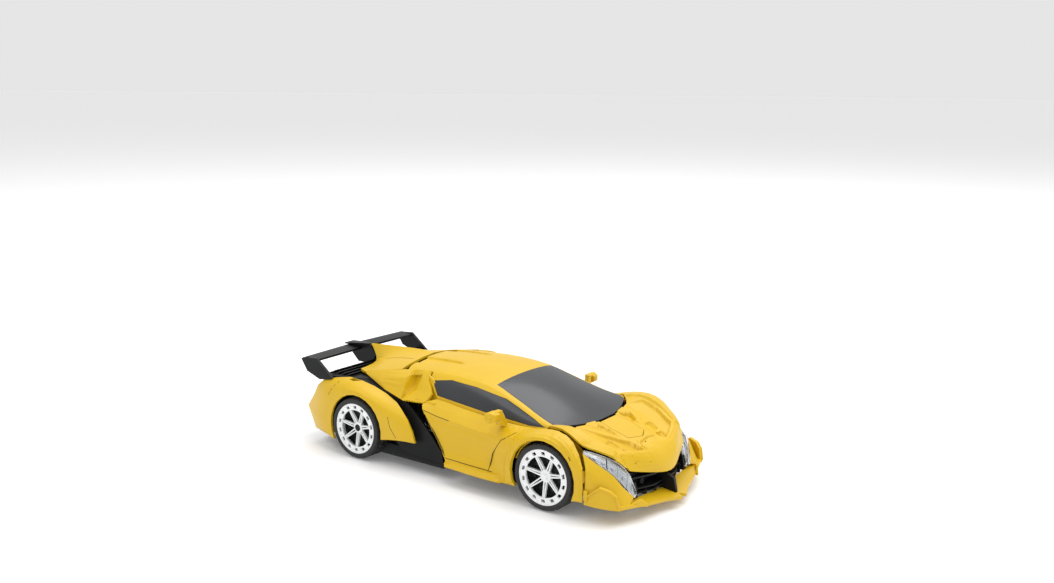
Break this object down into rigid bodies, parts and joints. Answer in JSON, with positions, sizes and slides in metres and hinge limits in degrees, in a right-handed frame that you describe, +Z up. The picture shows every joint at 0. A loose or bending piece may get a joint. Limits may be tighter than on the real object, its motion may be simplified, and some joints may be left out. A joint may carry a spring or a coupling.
{
  "type": "transforming robot car",
  "caption": "Toy sports car whose legs, torso, nose, arms and head fold up together into a standing robot, with rolling wheels and a front caster.",
  "frame": {"origin": "middle of the footprint, on the floor under the tyres, in car mode", "axes": "+X to the nose, +Y to the car's left, +Z up"},
  "size_m": [0.248, 0.108, 0.0594],
  "materials": {
    "black_plastic": "satin moulded",
    "yellow_paint": "satin painted",
    "orange_plastic": "moulded",
    "silver_paint": "metallic paint",
    "gold_paint": "metallic paint",
    "smoked_glass": "glossy smoked",
    "tyre": "rubber",
    "white_plastic": "moulded",
    "clear_lens": "clear",
    "red_lens": "translucent",
    "metal": "satin",
    "battery_wrap": "shrink wrap",
    "circuit_board": "solder mask"
  },
  "bodies": {
    "chassis": {"chassis_pan": "black_plastic", "foot_box": "black_plastic", "shoes": "black_plastic", "gearboxes": "black_plastic", "battery_box": "black_plastic", "battery_door": "black_plastic", "engine_deck": "black_plastic", "sills": "black_plastic", "rear_bumper": "black_plastic", "rear_wing": "black_plastic", "foot_rods": "metal", "drive_motors": "metal", "pan_screws": "metal", "knee_pins": "metal", "foot_knobs": "gold_paint", "battery_pack": "battery_wrap", "rear_deck": "yellow_paint", "rear_fenders": "yellow_paint", "tail_lights": "red_lens"},
    "switch": {"switch_knob": "white_plastic"},
    "legs": {"legs_frame": "black_plastic", "thigh_plates": "silver_paint", "thigh_inlays": "gold_paint"},
    "torso": {"torso_frame": "black_plastic", "cabin_shell": "yellow_paint", "windshield": "smoked_glass", "side_windows": "smoked_glass", "spine_plate": "silver_paint", "rib_plates": "gold_paint", "belt_pads": "gold_paint", "main_board": "circuit_board", "lift_motor": "metal", "torso_pins": "metal"},
    "nose": {"hood_panel": "yellow_paint", "bumper_shell": "yellow_paint", "splitter": "yellow_paint", "grille": "black_plastic", "nose_frame": "black_plastic", "headlight_lenses": "clear_lens", "headlight_bezels": "silver_paint"},
    "head": {"head_flap": "orange_plastic", "head_block": "black_plastic", "face_plate": "silver_paint"},
    "arm_left": {"arm_bars_left": "black_plastic"},
    "arm_right": {"arm_bars_right": "black_plastic"},
    "hand_left": {"side_panel_left": "yellow_paint", "shoulder_left": "yellow_paint", "hand_bracket_left": "black_plastic"},
    "hand_right": {"side_panel_right": "yellow_paint", "shoulder_right": "yellow_paint", "hand_bracket_right": "black_plastic"},
    "wheel_front_left": {"tyre_front_left": "tyre", "rim_front_left": "white_plastic"},
    "wheel_front_right": {"tyre_front_right": "tyre", "rim_front_right": "white_plastic"},
    "rear_wheels": {"tyre_rear_left": "tyre", "tyre_rear_right": "tyre", "rims_rear": "white_plastic"},
    "caster": {"caster_fork": "white_plastic"},
    "caster_roller": {"caster_wheel": "white_plastic"}
  },
  "joints": [
    {"name": "leg_lift", "type": "hinge", "parent": "chassis", "child": "legs", "pos_m": [0.0211, 0, 0.0154], "axis": [0, 1, 0], "range_deg": [0, 90]},
    {"name": "torso_lift", "type": "hinge", "parent": "legs", "child": "torso", "pos_m": [-0.0499, 0, 0.0154], "axis": [0, -1, 0], "range_deg": [0, 180]},
    {"name": "chest_level", "type": "hinge", "parent": "torso", "child": "nose", "pos_m": [0.0391, 0, 0.0274], "axis": [0, 1, 0], "range_deg": [0, 90]},
    {"name": "head_flip", "type": "hinge", "parent": "nose", "child": "head", "pos_m": [0.0751, 0, 0.0354], "axis": [0, -1, 0], "range_deg": [0, 90]},
    {"name": "arm_swing_left", "type": "hinge", "parent": "nose", "child": "arm_left", "pos_m": [0.0881, 0.029, 0.0194], "axis": [0, 0, -1], "range_deg": [0, 90]},
    {"name": "hand_level_left", "type": "hinge", "parent": "arm_left", "child": "hand_left", "pos_m": [0.0381, 0.029, 0.0194], "axis": [0, 0, 1], "range_deg": [0, 90]},
    {"name": "arm_swing_right", "type": "hinge", "parent": "nose", "child": "arm_right", "pos_m": [0.0881, -0.029, 0.0194], "axis": [0, 0, 1], "range_deg": [0, 90]},
    {"name": "hand_level_right", "type": "hinge", "parent": "arm_right", "child": "hand_right", "pos_m": [0.0381, -0.029, 0.0194], "axis": [0, 0, -1], "range_deg": [0, 90]},
    {"name": "front_left_spin", "type": "hinge", "parent": "hand_left", "child": "wheel_front_left", "pos_m": [0.0671, 0.042, 0.0184], "axis": [0, 1, 0], "continuous": true},
    {"name": "front_right_spin", "type": "hinge", "parent": "hand_right", "child": "wheel_front_right", "pos_m": [0.0671, -0.042, 0.0184], "axis": [0, 1, 0], "continuous": true},
    {"name": "rear_spin", "type": "hinge", "parent": "chassis", "child": "rear_wheels", "pos_m": [-0.0689, 0, 0.0184], "axis": [0, 1, 0], "continuous": true},
    {"name": "caster_swivel", "type": "hinge", "parent": "chassis", "child": "caster", "pos_m": [0.0791, 0, 0.0054], "axis": [0, 0, 1], "continuous": true},
    {"name": "caster_roll", "type": "hinge", "parent": "caster", "child": "caster_roller", "pos_m": [0.0771, 0, 0.0031], "axis": [0, 1, 0], "continuous": true},
    {"name": "power_switch", "type": "slide", "parent": "chassis", "child": "switch", "axis": [1, 0, 0], "range_m": [0, 0.003]}
  ],
  "couplings": [
    {"joint": "torso_lift", "follows": "leg_lift", "ratio": 2},
    {"joint": "chest_level", "follows": "leg_lift", "ratio": 1},
    {"joint": "head_flip", "follows": "leg_lift", "ratio": 1},
    {"joint": "arm_swing_left", "follows": "leg_lift", "ratio": 1},
    {"joint": "hand_level_left", "follows": "leg_lift", "ratio": 1},
    {"joint": "arm_swing_right", "follows": "leg_lift", "ratio": 1},
    {"joint": "hand_level_right", "follows": "leg_lift", "ratio": 1}
  ]
}
